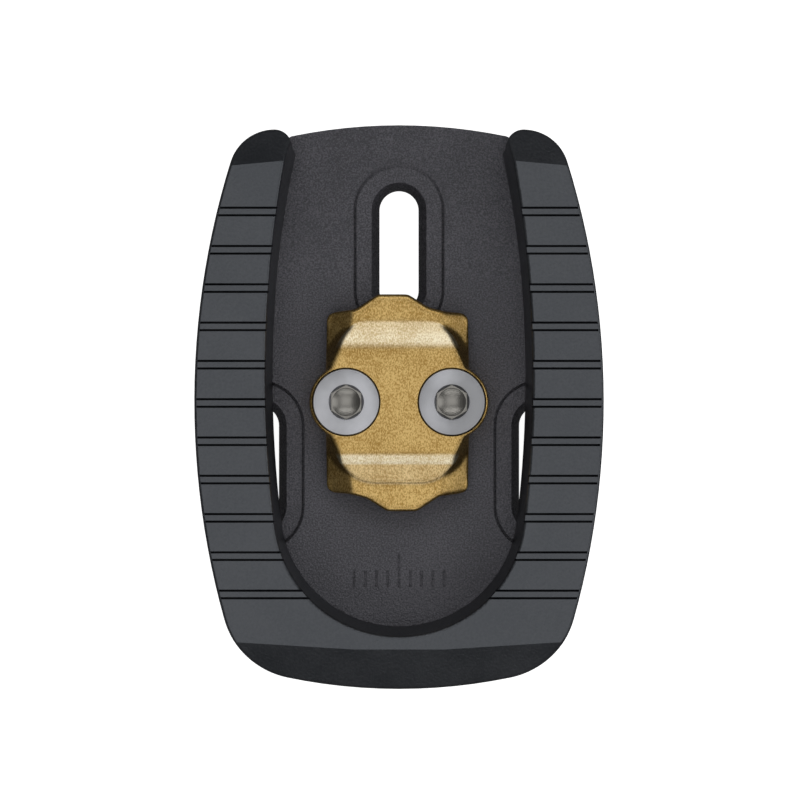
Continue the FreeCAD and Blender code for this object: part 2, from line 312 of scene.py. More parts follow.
def drawn(name, steps, offset, side=False):
    """Closed line through the steps, each a point and the centre of the arc that leads to it, or None."""
    drawing = Drawing(name, steps[0][0], offset, side)
    return drawing.follow(steps[1:] + [steps[0]])


def filled(piece):
    open_mesh(piece)
    bpy.ops.mesh.remove_doubles(threshold=0.01 * MM)
    bpy.ops.mesh.edge_face_add()
    close_mesh()
    return piece


def pushed(piece, move):
    """Extrudes a flat piece into a solid."""
    open_mesh(piece)
    bpy.ops.mesh.extrude_region_move(TRANSFORM_OT_translate={"value": Vector(move) * MM})
    close_mesh()
    return tidy_mesh(piece)


def upright(name, steps, low_z, high_z):
    return pushed(filled(drawn(name, steps, low_z)), (0, 0, high_z - low_z))


def across(name, steps, reach):
    """Solid that runs across the whole width, from a side drawing."""
    return pushed(filled(drawn(name, steps, -reach, side=True)), (2 * reach, 0, 0))


def bridged(lower, upper):
    """Solid between two closed lines."""
    only(lower, upper)
    bpy.ops.object.join()
    open_mesh(lower)
    bpy.ops.mesh.remove_doubles(threshold=0.01 * MM)
    bpy.ops.mesh.bridge_edge_loops()
    bpy.ops.mesh.select_all(action="SELECT")
    bpy.ops.mesh.fill_holes(sides=0)
    close_mesh()
    return tidy_mesh(lower)


def joined(first, *others):
    only(first, *others)
    bpy.ops.object.join()
    return first


def with_modifier(piece, kind, **settings):
    only(piece)
    modifier = piece.modifiers.new(kind.lower(), kind)
    for name, value in settings.items():
        setattr(modifier, name, value)
    bpy.ops.object.modifier_apply(modifier=modifier.name)
    return piece


def carved(piece, cutter, operation="DIFFERENCE"):
    with_modifier(piece, "BOOLEAN", operation=operation, object=cutter, solver="EXACT")
    bpy.data.objects.remove(cutter)
    return piece


def sliced(piece, point, normal):
    """Cuts a solid with a plane and drops what lies on the side that the normal points to."""
    open_mesh(piece)
    place = Vector(point) * MM
    bpy.ops.mesh.bisect(plane_co=place, plane_no=normal, use_fill=True, clear_outer=True)
    close_mesh()
    return tidy_mesh(piece)


def edge_faces(piece):
    """For each edge, the faces beside it."""
    faces = {}
    for face in piece.data.polygons:
        for key in face.edge_keys:
            faces.setdefault(key, []).append(face)
    return faces


def rounded(piece, chosen, width, segments=4):
    """Bevels the edges that chosen(middle in mm, face, face) picks."""
    mesh = piece.data
    beside = edge_faces(piece)
    picked = []
    for edge in mesh.edges:
        faces = beside.get(edge.key, [])
        middle = (mesh.vertices[edge.vertices[0]].co + mesh.vertices[edge.vertices[1]].co) / 2 / MM
        picked.append(len(faces) == 2 and chosen(middle, faces[0], faces[1]))
    open_mesh(piece)
    bpy.ops.mesh.select_mode(type="EDGE")
    bpy.ops.mesh.select_all(action="DESELECT")
    close_mesh()
    for edge, wanted in zip(mesh.edges, picked):
        edge.select = wanted
    bpy.ops.object.mode_set(mode="EDIT")
    bpy.ops.mesh.bevel(offset=width * MM, segments=segments, profile=0.5, clamp_overlap=False,
                       loop_slide=False)
    close_mesh()
    return tidy_mesh(piece)


def edges_broken(piece, width, sharper_than):
    """Small bevel, this wide in millimetres, on every edge that turns by more than this angle."""
    return with_modifier(piece, "BEVEL", width=width * MM, segments=2, limit_method="ANGLE",
                         angle_limit=radians(sharper_than), use_clamp_overlap=True)


def smoothed(piece, angle):
    """Smooth shading that keeps the flat faces and the edges that turn by more than this angle."""
    only(piece)
    bpy.ops.object.shade_smooth_by_angle(angle=radians(angle))
    return with_modifier(piece, "WEIGHTED_NORMAL", keep_sharp=True, weight=80)


def circle_crossing(centre_a, radius_a, centre_b, radius_b, side):
    along = Vector(centre_b) - Vector(centre_a)
    distance = along.length
    reach = (radius_a ** 2 - radius_b ** 2 + distance ** 2) / (2 * distance)
    height = sqrt(radius_a ** 2 - reach ** 2)
    along.normalize()
    across_line = Vector((-along.y, along.x))
    return tuple(Vector(centre_a) + along * reach + across_line * (height * side))


def on_circle(centre, radius, towards):
    direction = Vector(towards) - Vector(centre)
    return tuple(Vector(centre) + direction.normalized() * radius)


def both_halves(right):
    """Closed line from its right half, which starts and ends on the middle line or is cut square there."""
    steps = list(right)
    for index in range(len(right) - 1, -1, -1):
        point = flipped(right[index][0])
        centre = right[index + 1][1] if index + 1 < len(right) else None
        if abs(point[0]) > 1e-6:
            steps.append((point, flipped(centre)))
    if abs(right[0][0][0]) < 1e-6:
        steps[0] = (right[0][0], flipped(right[1][1]))
    return steps


def box_solid(name, low, high):
    """Rectangular block, grown from a cube to its corners."""
    bpy.ops.object.select_all(action="DESELECT")
    middle = (Vector(low) + Vector(high)) / 2 * MM
    size = (Vector(high) - Vector(low)) * MM
    bpy.ops.mesh.primitive_cube_add(size=1.0, location=middle, scale=size)
    piece = bpy.context.object
    piece.name = name
    bpy.ops.object.transform_apply(location=True, rotation=True, scale=True)
    return piece


def capsule(name, x, y, half_gauge, travel, angle, low_z, high_z):
    """Upright slot-shaped solid, its length along the given angle from X."""
    along = Vector((cos(radians(angle)), sin(radians(angle))))
    aside = Vector((-along.y, along.x)) * half_gauge
    near = Vector((x, y)) - along * (travel / 2)
    far = Vector((x, y)) + along * (travel / 2)
    steps = [
        (tuple(near - aside), None),
        (tuple(far - aside), None),
        (tuple(far + along * half_gauge), tuple(far)),
        (tuple(far + aside), tuple(far)),
        (tuple(near + aside), None),
        (tuple(near - along * half_gauge), tuple(near)),
    ]
    steps[0] = (steps[0][0], tuple(near))
    return upright(name, steps, low_z, high_z)


# ---------------------------------------------------------------- outlines


def side_centre():
    return (half_width - side_radius, widest_y)


def heel_centre():
    return (0.0, heel_y + heel_radius)


def heel_half(inset):
    """Right half of the heel: side arc, corner arc and heel arc down to the middle line."""
    reach = heel_corner_radius
    corner = circle_crossing(side_centre(), side_radius - reach, heel_centre(), heel_radius - reach, -1)
    on_side = on_circle(side_centre(), side_radius - inset, corner)
    on_heel = on_circle(heel_centre(), heel_radius - inset, corner)
    return [(on_side, side_centre()), (on_heel, corner), ((0.0, heel_y + inset), heel_centre())]


def tread_line(inset):
    corner_y = rail_tip_y - rail_corner_radius
    run = sqrt((side_radius - rail_corner_radius) ** 2 - (corner_y - widest_y) ** 2)
    corner = (side_centre()[0] + run, corner_y)
    on_side = on_circle(side_centre(), side_radius - inset, corner)
    nose = (corner[0], rail_tip_y - rail_nose_radius)
    right = [
        ((rail_foot_x, rail_foot_y), None),
        ((nose[0] - rail_nose_radius + inset, nose[1]), None),
        ((corner[0], rail_tip_y - inset), nose),
        (on_side, corner),
    ]
    return both_halves(right + heel_half(inset))


def plate_line(inset, tongue):
    toe_centre = (0.0, toe_y - toe_radius)
    corner_x = tongue - tongue_corner_radius
    corner_reach = toe_radius - tongue_corner_radius
    corner = (corner_x, toe_centre[1] + sqrt(corner_reach ** 2 - corner_x ** 2))
    shoulder = shoulder_y - inset + skirt_wall
    turn_y = shoulder - shoulder_corner_radius
    reach = side_radius - inset - shoulder_corner_radius
    turn = (side_centre()[0] + sqrt(reach ** 2 - (turn_y - widest_y) ** 2), turn_y)
    right = [
        ((0.0, toe_y), None),
        (on_circle(toe_centre, toe_radius, corner), toe_centre),
        ((tongue, corner[1]), corner),
        ((tongue, shoulder), None),
        ((turn[0], shoulder), None),
        (on_circle(side_centre(), side_radius - inset, turn), turn),
    ]
    return both_halves(right + heel_half(inset))


def underside(lift):
    """Underside from the toe end to the heel end: level pad, sole arc, level pad."""
    radius = (sole_half_length ** 2 + sole_rise ** 2) / (2 * sole_rise)
    centre = (0.0, sole_rise + lift - radius)
    return [
        ((beyond, lift), None),
        ((sole_half_length, lift), None),
        ((-sole_half_length, lift), centre),
        ((-beyond, lift), None),
    ]


def floor_side(lift):
    """Floor of the plate in side view, from heel to toe."""
    radius = (bend_end_y - bend_start_y) / sin(toe_slope)
    top = floor_z + lift
    bend_low = top - radius * (1 - cos(toe_slope))
    return [
        ((-beyond, top), None),
        ((bend_start_y, top), None),
        ((bend_end_y, bend_low), (bend_start_y, top - radius)),
        ((beyond, bend_low - (beyond - bend_end_y) * tan(toe_slope)), None),
    ]


def plate_band(name, lift, sole_lift):
    return across(name, floor_side(lift) + underside(sole_lift), half_width + 2 * cut_over)


def rail_line(z):
    """Inner wall of the rails at one height."""
    share = (z - floor_z) / (tread_top_z - floor_z)
    half = rail_base_half_width + share * (rail_top_half_width - rail_base_half_width)
    end_y = rail_base_end_y + share * (rail_top_end_y - rail_base_end_y)
    depth = rail_widest_y - end_y
    big = rail_side_radius
    end_radius = (big ** 2 - (big - half) ** 2 - depth ** 2) / (2 * (big - depth))
    side = (half - big, rail_widest_y)
    end = (0.0, end_y + end_radius)
    front = (side[0] + sqrt(big ** 2 - (beyond - rail_widest_y) ** 2), beyond)
    right = [
        (front, None),
        (on_circle(side, big, end), side),
        ((0.0, end_y), end),
    ]
    return both_halves(right)


# ---------------------------------------------------------------- pieces


def capsule_line(name, x, y, half_gauge, z):
    reach = slot_travel / 2
    steps = [
        ((x + half_gauge, y - reach), (x, y - reach)),
        ((x + half_gauge, y + reach), None),
        ((x, y + reach + half_gauge), (x, y + reach)),
        ((x - half_gauge, y + reach), (x, y + reach)),
        ((x - half_gauge, y - reach), None),
        ((x, y - reach - half_gauge), (x, y - reach)),
    ]
    return drawn(name, steps, z)


def cut_slot(plate, x, y):
    """Level bolt land in a fine moat, then the funnel and the through slot."""
    rim = land_half_width + moat_width
    moat_low = land_z - moat_depth
    moat = capsule("moat", x, y, rim, slot_travel, lengthwise, moat_low, floor_z + cut_over)
    plate = carved(plate, moat)
    land = capsule("land", x, y, land_half_width, slot_travel, lengthwise, sole_rise, land_z)
    plate = carved(plate, land, "UNION")
    mouth = land_z - funnel_depth
    low = filled(capsule_line("funnel", x, y, slot_half_width, mouth))
    high = filled(capsule_line("funnel_mouth", x, y, funnel_half_width, land_z))
    slot_high = land_z - blank_low_z
    slot = capsule("slot", x, y, slot_half_width, slot_travel, lengthwise, blank_low_z, slot_high)
    plate = carved(plate, slot)
    return carved(plate, bridged(low, high))


def lugs(gap, low_z, high_z):
    solids = []
    for x, y, length, angle in lug_places:
        for side in (-1, 1):
            gauge = lug_half_width + gap
            travel = length - 2 * lug_half_width
            solids.append(capsule("lug", side * x, y, gauge, travel, angle, low_z, high_z))
    return joined(*solids)


def round_bar(name, x, radius, low_z, high_z, sides=96):
    """Upright cylinder on a bolt's axis, to cut or to build on."""
    bpy.ops.object.select_all(action="DESELECT")
    place = Vector((x, bolt_y, (low_z + high_z) / 2)) * MM
    size = {"radius": radius * MM, "depth": (high_z - low_z) * MM}
    bpy.ops.mesh.primitive_cylinder_add(vertices=sides, location=place, **size)
    piece = bpy.context.object
    piece.name = name
    bpy.ops.object.transform_apply(location=True, rotation=True, scale=True)
    return piece


def turned(name, x, profile, sides=96):
    """Round piece on a bolt's axis, spun from half its section, points (distance from the axis, height)."""
    drawing = Drawing(name, (bolt_y + profile[0][0], profile[0][1]), x, side=True)
    for reach, height in profile[1:]:
        drawing.straight((bolt_y + reach, height))
    close_mesh()
    open_mesh(drawing.piece)
    centre = Vector((x, bolt_y, 0)) * MM
    bpy.ops.mesh.spin(steps=sides, angle=2 * pi, center=centre, axis=(0, 0, 1))
    close_mesh()
    return tidy_mesh(drawing.piece)


def make_plate():
    """Grained nylon plate: prism of its outline, cut to its side view, slotted and pocketed."""
    outline = plate_line(skirt_wall + side_gap, tongue_half_width)
    plate = upright("shoe_plate", outline, blank_low_z, blank_high_z)
    plate = carved(plate, plate_band("plate_side", 0, 0), "INTERSECT")
    for centre in slot_centres:
        plate = cut_slot(plate, centre.x, centre.y)
    plate = carved(plate, lugs(lug_gap, blank_low_z, floor_z + cut_over))
    for index in range(scale_marks):
        step = index - scale_marks // 2
        length = middle_mark_length if step == 0 else mark_length
        x = step * scale_pitch
        low = (x - mark_width / 2, scale_y, floor_z - mark_depth)
        high = (x + mark_width / 2, scale_y + length, floor_z + cut_over)
        plate = carved(plate, box_solid("mark", low, high))
    for x in (-bolt_x, bolt_x):
        plate = carved(plate, round_bar("barrel_hole", x, insert_radius + insert_gap, 0, floor_z + cut_over))
        flange_top = insert_low.z + insert_flange + insert_gap
        plate = carved(plate, round_bar("flange_seat", x, insert_flange_radius + side_gap, 0, flange_top))
    plate = edges_broken(tidy_mesh(plate), plate_edge_bevel, sharper_than=50)
    return smoothed(plate, angle=40)


def make_channels():
    """All the channels as one cutter: strips with a groove along each edge, kept inside the outer edge."""
    field_line = tread_line(channel_edge_wall)
    field = upright("channel_field", field_line, tread_top_z - cut_over, tread_top_z + cut_over)
    open_z = tread_top_z + cut_over / 2
    strip_z = tread_top_z - strip_depth
    groove_z = tread_top_z - groove_depth
    edge = channel_width / 2
    inner = edge - groove_width
    middle = edge - groove_width / 2
    section = [(-edge, open_z), (-edge, strip_z), (-middle, groove_z), (-inner, strip_z)]
    section += [(inner, strip_z), (middle, groove_z), (edge, strip_z), (edge, open_z)]
    bars = []
    for index in range(channel_count):
        y = channel_first_y - index * channel_pitch
        steps = [((y + aside, z), None) for aside, z in section]
        bars.append(across("channel", steps, half_width + cut_over))
    return carved(field, joined(*bars), "INTERSECT")


def bevelled_end(tread, crease_y, radius, slope, towards, places):
    """Bevels one end down from its crease, a slight arch that planes at these places across it follow."""
    for x in places:
        turn = asin(x / radius)
        crease = (x, crease_y - towards * (radius - radius * cos(turn)), tread_top_z)
        normal = (sin(slope) * sin(turn), towards * sin(slope) * cos(turn), cos(slope))
        tread = sliced(tread, crease, normal)
    return tread


def make_tread():
    """Rubber tread: both rails and the heel in one, with a skirt round the plate and lugs into it."""
    tread = upright("rubber_tread", tread_line(0), 0, tread_top_z)
    tread = bevelled_end(tread, toe_crease_y, toe_crease_radius, toe_chamfer, 1, toe_plane_places)
    tread = bevelled_end(tread, heel_crease_y, heel_crease_radius, heel_chamfer, -1, heel_plane_places)
    head_z = tread_top_z + cut_over
    space = bridged(filled(drawn("rail_foot", rail_line(skirt_lift), skirt_lift)),
                    filled(drawn("rail_head", rail_line(head_z), head_z)))
    tread = carved(tread, space)
    wall_below = 0.5
    level_above = 0.6
    corner_below = 0.85
    past_foot_y = rail_foot_y + 1

    def on_rim(middle, one, other):
        """Edges of the top and of the end bevels, and the upright edge inside each rail tip."""
        upper = max(one.normal.z, other.normal.z)
        lower = min(one.normal.z, other.normal.z)
        top_edge = middle.z > floor_z and upper > level_above and lower < wall_below
        tip_wall = upper < wall_below and middle.y > past_foot_y
        return top_edge or (tip_wall and one.normal.dot(other.normal) < corner_below)

    tread = rounded(tread, on_rim, tread_edge_radius)
    tread = carved(tread, make_channels())
    room = tongue_half_width + side_gap
    seat_line = plate_line(skirt_wall, room)
    seat = upright("plate_seat", seat_line, blank_low_z - cut_over, blank_high_z + cut_over)
    seat = carved(seat, plate_band("seat_side", seat_gap, deep_z), "INTERSECT")
    tread = carved(tread, seat)
    tread = carved(tread, lugs(0, 0, floor_z + cut_over), "UNION")
    below = [((-beyond, deep_z + cut_over), None), ((beyond, deep_z + cut_over), None)]
    hollow = across("sole", underside(skirt_lift) + below, sole_cut_reach)
    tread = carved(tread, hollow)
    return smoothed(tidy_mesh(tread), angle=24)


def cleat_ring(name, half, z):
    """Closed line of a half outline and the same half turned end for end about the cleat's centre."""
    steps = []
    for turn in (1, -1):
        for point, centre in half:
            middle = None if centre is None else (cleat_x + turn * centre[0], cleat_y + turn * centre[1])
            steps.append(((cleat_x + turn * point[0], cleat_y + turn * point[1]), middle))
    return drawn(name, steps, z)


def corners(*points):
    return [(point, None) for point in points]


def lip_ring(name, z):
    """Edge of the lip: a nose off the middle and two rounded corners."""
    half = [((9.5, 10.8), None), ((8.3, 12.0), (8.3, 10.8))]
    half += corners((6.4, 12.1), (4.1, 12.7), (1.4, 14.4), (-2.6, 14.4), (-5.6, 12.4), (-8.3, 12.1))
    half += [((-9.5, 10.9), (-8.3, 10.9))]
    return cleat_ring(name, half, z)


def nose_ring(name, z):
    """Top of the nose piece, inside the lip's line by the width of its worn edge."""
    return cleat_ring(name, corners((8.6, 10.8), (7.9, 11.45), (6.3, 11.55), (3.85, 12.2), (1.25, 13.85),
                                    (-2.4, 13.85), (-5.35, 11.85), (-7.9, 11.5), (-8.7, 10.9)), z)


def cheeks(nose):
    """Slopes the nose piece down to the lip at its four corners."""
    for x in (-1, 1):
        for y in (-1, 1):
            edge = (cleat_x + x * cheek_x, cleat_y + y * foot_half_y, lip_edge_z)
            level = sin(cheek_slope)
            normal = (x * level * cos(cheek_turn), y * level * sin(cheek_turn), cos(cheek_slope))
            nose = sliced(nose, edge, normal)
    return nose


def crown_line(grow):
    """Crown from above: four round corners that run straight on to the bosses."""
    radius = crown_corner_radius + grow
    steps = []
    for y, towards in ((crown_toe_y, 1), (crown_heel_y, -1)):
        centre_y = y - towards * crown_corner_radius
        for x in (crown_corner_x * towards, -crown_corner_x * towards):
            side = 1 if x > 0 else -1
            centre = (cleat_x + x, cleat_y + centre_y)
            leave = (centre[0] + side * radius * cos(crown_corner_turn),
                     centre[1] + towards * radius * sin(crown_corner_turn))
            end = (centre[0], centre[1] + towards * radius)
            waist = (leave[0] + side * crown_side_run * sin(crown_corner_turn),
                     leave[1] - towards * crown_side_run * cos(crown_corner_turn))
            if side == towards:
                steps += [(waist, None), (leave, None), (end, centre)]
            else:
                steps += [(end, None), (leave, centre), (waist, None)]
    return steps


def crown_cutters():
    """What is taken off the crown: the long slope to the toe, and the ramp and shelf at the heel."""
    above = cleat_top + 2 * cut_over
    tangent = front_slope_bend * tan(front_slope / 2)
    start = cleat_y + front_slope_y
    bend_end = (start + tangent * cos(front_slope), cleat_top - tangent * sin(front_slope))
    slope_end = start + front_slope_reach
    slope = [
        ((start - tangent, above), None),
        ((start - tangent, cleat_top), None),
        (bend_end, (start - tangent, cleat_top - front_slope_bend)),
        ((slope_end, cleat_top - front_slope_reach * tan(front_slope)), None),
        ((slope_end, above), None),
    ]
    shelf_z = cleat_top - shelf_drop
    shelf = [
        ((cleat_y + rear_ramp_top_y, above), None),
        ((cleat_y + rear_ramp_top_y, cleat_top), None),
        ((cleat_y + rear_ramp_foot_y, shelf_z), None),
        ((cleat_y - shelf_reach, shelf_z - shelf_fall), None),
        ((cleat_y - shelf_reach, above), None),
    ]
    return across("toe_slope", slope, crown_cutter_reach), across("heel_shelf", shelf, crown_cutter_reach)


def make_cleat():
    """Cast cleat: lip, cheeks and nose, crown, foot and bosses, fused and tumbled smooth, then drilled."""
    overlap = 0.3
    worn_z = nose_z - nose_edge_drop
    lip = bridged(filled(lip_ring("brass_cleat", lip_low_z)), filled(lip_ring("lip_top", lip_edge_z)))
    nose = bridged(filled(lip_ring("nose", lip_edge_z - overlap)), filled(lip_ring("nose_edge", worn_z)))
    worn = bridged(filled(lip_ring("worn_edge", worn_z)), filled(nose_ring("nose_top", nose_z)))
    nose = cheeks(carved(nose, worn, "UNION"))
    crown = bridged(filled(drawn("crown", crown_line(crown_flare), lip_edge_z)),
                    filled(drawn("crown_top", crown_line(0), cleat_top)))
    reach = pushed(filled(lip_ring("reach", floor_z)), (0, 0, 2 * (cleat_top - floor_z)))
    crown = carved(crown, reach, "INTERSECT")
    for cutter in crown_cutters():
        crown = carved(crown, cutter)
    low = (cleat_x - foot_half_x, cleat_y - foot_half_y, floor_z)
    high = (cleat_x + foot_half_x, cleat_y + foot_half_y, lip_low_z + overlap)
    bosses = [round_bar("boss", x, boss_radius, floor_z, cleat_top) for x in (-bolt_x, bolt_x)]
    cleat = joined(lip, nose, crown, box_solid("foot", low, high), *bosses)
    cleat = with_modifier(cleat, "REMESH", mode="VOXEL", voxel_size=cast_grain * MM)
    cleat = with_modifier(cleat, "SMOOTH", factor=0.5, iterations=48)
    seat_radius = head_radius + countersink_gap
    for x in (-bolt_x, bolt_x):
        section = [
            (0.0, floor_z - cut_over),
            (cleat_hole_radius, floor_z - cut_over),
            (cleat_hole_radius, cleat_top - head_land - seat_radius + cleat_hole_radius),
            (seat_radius, cleat_top - head_land),
            (seat_radius, cleat_top + cut_over),
            (0.0, cleat_top + cut_over),
        ]
        cleat = carved(cleat, turned("countersink", x, section))
    return smoothed(cleat, angle=50)


def make_bolt(name, x):
    """Countersunk bolt: turned head and shank, a drilled socket with a lead-in, broached to a hexagon."""
    corner = socket_across_flats / 2 / cos(pi / 6)
    drill = socket_across_flats / 2 + socket_play
    lead_in = corner + socket_play - drill
    chamfer = 0.12
    shank_end = 0.4
    cone_end = bolt_top - head_land - (head_radius - shank_radius)
    section = [
        (0.0, bolt_low.z),
        (shank_radius - shank_end, bolt_low.z),
        (shank_radius, bolt_low.z + shank_end),
        (shank_radius, cone_end),
        (head_radius, bolt_top - head_land),
        (head_radius, bolt_top - chamfer),
        (head_radius - chamfer, bolt_top),
        (drill + lead_in, bolt_top),
        (drill, bolt_top - lead_in),
        (drill, bolt_top - cone_top_depth),
        (0.0, bolt_top - socket_depth),
    ]
    bolt = turned(name, x, section)
    hexagon = round_bar("hexagon", x, corner, bolt_top - hexagon_depth, bolt_top + cut_over, sides=6)
    bolt = edges_broken(tidy_mesh(carved(bolt, hexagon)), socket_edge_bevel, sharper_than=40)
    return smoothed(bolt, angle=22)


def make_insert(name, x):
    """Flanged threaded insert, seen from the shoe side as a ring round the end of the bolt."""
    low = insert_low.z
    high = insert_high.z
    mouth = 0.35
    flange_edge = 0.15
    barrel_edge = 0.2
    bore_edge = 0.3
    section = [
        (insert_bore_radius + mouth, low),
        (insert_flange_radius - flange_edge, low),
        (insert_flange_radius, low + flange_edge),
        (insert_flange_radius, low + insert_flange),
        (insert_radius, low + insert_flange),
        (insert_radius, high - barrel_edge),
        (insert_radius - barrel_edge, high),
        (insert_bore_radius + bore_edge, high),
        (insert_bore_radius, high - bore_edge),
        (insert_bore_radius, low + mouth),
        (insert_bore_radius + mouth, low),
    ]
    return smoothed(turned(name, x, section), angle=35)


def make_pieces():
    pieces = {
        "base_plate": make_plate(),
        "tread_pad": make_tread(),
        "cleat": make_cleat(),
        "cleat_bolt_left": make_bolt("bolt_left", -bolt_x),
        "cleat_bolt_right": make_bolt("bolt_right", bolt_x),
        "threaded_insert_left": make_insert("insert_left", -bolt_x),
        "threaded_insert_right": make_insert("insert_right", bolt_x),
    }
    bodies = frame["record"]["behaviour"]["bodies"]
    for node, piece in pieces.items():
        body = next(name for name, nodes in bodies.items() if node in nodes)
        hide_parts(node)
        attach(piece, body)
    return pieces


# ---------------------------------------------------------------- finishes


class Value:
    """A socket's value; sums on it add the Math nodes."""

    def __init__(self, finish, socket):
        self.finish = finish
        self.socket = socket

    def math(self, operation, *others):
        return self.finish.node("ShaderNodeMath", {"operation": operation}, [self, *others])

    def __add__(self, other):
        return self.math("ADD", other)

    __radd__ = __add__

    def __mul__(self, other):
        return self.math("MULTIPLY", other)

    __rmul__ = __mul__

    def __sub__(self, other):
        return self.math("SUBTRACT", other)

    def __rsub__(self, other):
        return self.finish.node("ShaderNodeMath", {"operation": "SUBTRACT"}, [other, self])

    def smooth_step(self, low, high):
        """Runs from 0 to 1 as the value goes from low to high."""
        settings = {"interpolation_type": "SMOOTHSTEP"}
        return self.finish.node("ShaderNodeMapRange", settings, [self, low, high, 0.0, 1.0])


class Finish:
    """One material, built node by node."""

    def __init__(self, name, **fixed):
        self.material = bpy.data.materials.new(name)
        self.material.use_nodes = True
        self.tree = self.material.node_tree
        self.shader = self.tree.nodes["Principled BSDF"]
        for socket, value in fixed.items():
            self.shader.inputs[socket.replace("_", " ")].default_value = value
        self.place = self.node("ShaderNodeTexCoord", {}, [], output="Object")

    def node(self, kind, settings, sockets, output=0):
        """Adds a node: its settings first, then the values or links of its sockets, by order or by name."""
        node = self.tree.nodes.new(kind)
        for name, value in settings.items():
            setattr(node, name, value)
        named = sockets.items() if isinstance(sockets, dict) else enumerate(sockets)
        for name, value in named:
            self.feed(node.inputs[name], value)
        return Value(self, node.outputs[output])

    def feed(self, socket, value):
        if isinstance(value, Value):
            self.tree.links.new(value.socket, socket)
        else:
            socket.default_value = value

    def give(self, socket, value):
        self.feed(self.shader.inputs[socket], value)

    def noise(self, size, detail=2.0, roughness=0.5, place=None):
        """Noise with lumps of about this size in millimetres."""
        sockets = {"Vector": place or self.place, "Scale": 1 / (size * MM), "Detail": detail}
        sockets["Roughness"] = roughness
        return self.node("ShaderNodeTexNoise", {}, sockets, output="Fac")

    def cells(self, size):
        sockets = {"Vector": self.place, "Scale": 1 / (size * MM)}
        return self.node("ShaderNodeTexVoronoi", {}, sockets, output="Distance")

    def stretched(self, x, y, z):
        """The place on the piece, scaled by these factors along X, Y and Z."""
        return self.node("ShaderNodeMapping", {}, {"Vector": self.place, "Scale": (x, y, z)}, output="Vector")

    def part_of_place(self, axis):
        return self.node("ShaderNodeSeparateXYZ", {}, [self.place], output=axis)

    def mixed(self, share, one, other):
        """Colour between two colours: the first at share 0, the second at share 1."""
        node = self.tree.nodes.new("ShaderNodeMix")
        node.data_type = "RGBA"
        self.feed(node.inputs[0], share)
        for index, colour in ((6, one), (7, other)):
            self.feed(node.inputs[index], colour if isinstance(colour, Value) else (*colour, 1.0))
        return Value(self, node.outputs[2])

    def bump(self, height, depth):
        """Relief of this depth in millimetres."""
        sockets = {"Height": height, "Distance": depth * MM, "Strength": 1.0}
        return self.node("ShaderNodeBump", {}, sockets, output="Normal")


def rubber_finish():
    finish = Finish("moulded_rubber", Specular_IOR_Level=1.0, Specular_Tint=(0.87, 0.92, 1.0, 1.0))
    cloud = finish.noise(9.0, detail=3.0)
    speck = finish.noise(0.35)
    shade = (cloud * 0.6 + speck * 0.4).smooth_step(0.3, 0.7)
    dark = (0.005, 0.006, 0.008)
    pale = (0.027, 0.028, 0.031)
    finish.give("Base Color", finish.mixed(shade, dark, pale))
    finish.give("Roughness", 0.30 + 0.10 * cloud)
    finish.give("Normal", finish.bump(speck, depth=0.045))
    return finish.material


def nylon_finish():
    finish = Finish("grained_nylon", Specular_IOR_Level=1.0, Specular_Tint=(0.93, 0.92, 1.0, 1.0))
    grain = finish.noise(0.22, detail=3.0, roughness=0.6)
    pits = finish.cells(0.42)
    cloud = finish.noise(7.0)
    shade = (grain * 0.85 + cloud * 0.15).smooth_step(0.40, 0.66)
    dark = (0.005, 0.005, 0.007)
    pale = (0.068, 0.066, 0.076)
    finish.give("Base Color", finish.mixed(shade, dark, pale))
    finish.give("Roughness", 0.56 - 0.25 * grain)
    finish.give("Normal", finish.bump(grain * 0.7 + pits * 0.3, depth=0.17))
    return finish.material


def painted_highlight_bands(finish):
    """Painted highlight that makes the brass pale on the slope at the toe and on the ramp and shelf at the
    heel.
    """
    y = finish.part_of_place("Y")
    z = finish.part_of_place("Z")
    toe_start = (cleat_y + front_slope_y) * MM
    toe_end = (cleat_y + crown_toe_y) * MM
    ramp_start = (cleat_y + rear_ramp_top_y) * MM
    ramp_end = (cleat_y + rear_ramp_foot_y) * MM
    blend = 0.3 * MM
    toe_share = 0.95
    toe_fade = 0.35
    ramp_share = 0.95
    shelf_share = 0.24
    crown = z.smooth_step((nose_z + 0.03) * MM, (nose_z + 0.12) * MM)
    toe = y.smooth_step(toe_start - blend, toe_start + 3 * blend)
    toe_far = y.smooth_step(toe_start + 4 * blend, toe_end)
    below_top = 1 - y.smooth_step(ramp_start - 2 * blend, ramp_start)
    ramp = below_top * y.smooth_step(ramp_end - blend, ramp_end)
    shelf = (1 - y.smooth_step(ramp_end - blend, ramp_end)) * shelf_share
    return crown * (toe * (toe_share - toe_fade * toe_far) + ramp * ramp_share + shelf)


def brass_finish():
    finish = Finish("tumbled_brass", Metallic=1.0)
    streak = finish.noise(0.17, detail=3.0, roughness=0.65, place=finish.stretched(1.0, 0.6, 1.0))
    pits = finish.noise(0.12)
    cloud = finish.noise(3.5)
    shade = (streak * 0.8 + cloud * 0.2).smooth_step(0.38, 0.62)
    brown, gold = (0.34, 0.20, 0.052), (0.68, 0.475, 0.185)
    # Colours of the painted highlight, streaked like the plain brass.
    highlight_dark, highlight_pale = (0.60, 0.46, 0.25), (0.90, 0.82, 0.62)
    plain = finish.mixed(shade, brown, gold)
    painted_highlight = finish.mixed(shade, highlight_dark, highlight_pale)
    # The base colour takes the painted highlight on the toe slope, the heel ramp and the shelf.
    finish.give("Base Color", finish.mixed(painted_highlight_bands(finish), plain, painted_highlight))
    finish.give("Roughness", 0.24 + 0.2 * streak)
    finish.give("Normal", finish.bump(streak * 0.7 + pits * 0.3, depth=0.035))
    return finish.material


